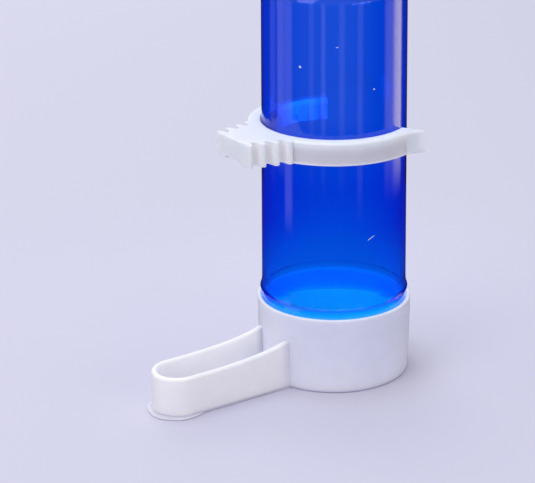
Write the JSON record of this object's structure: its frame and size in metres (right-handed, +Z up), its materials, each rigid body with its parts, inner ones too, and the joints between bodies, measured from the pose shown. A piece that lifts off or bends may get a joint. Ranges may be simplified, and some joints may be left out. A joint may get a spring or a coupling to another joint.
{
  "type": "bird water drinker",
  "caption": "Clear blue reservoir tube plugged mouth down into a white cup with a long drinking trough, held to cage bars by a spring clip with a barbed tab.",
  "frame": {"origin": "on the cup's axis, at the flat underside of the base", "axes": "+Z up along the reservoir tube, -X along the drinking trough and the clip's tab"},
  "size_m": [0.0826, 0.0476, 0.1135],
  "materials": {
    "white_plastic": "moulded, satin",
    "clear_blue_plastic": "clear, polished"
  },
  "bodies": {
    "base": {"base": "white_plastic"},
    "tube": {"reservoir_tube": "clear_blue_plastic"},
    "clip": {"cage_clip": "white_plastic"}
  },
  "joints": [
    {"name": "tube_lift", "type": "slide", "parent": "base", "child": "tube", "axis": [0, 0, 1], "range_m": [0, 0.03]},
    {"name": "clip_slide", "type": "slide", "parent": "tube", "child": "clip", "axis": [0, 0, 1], "range_m": [-0.0408, 0.035]}
  ]
}
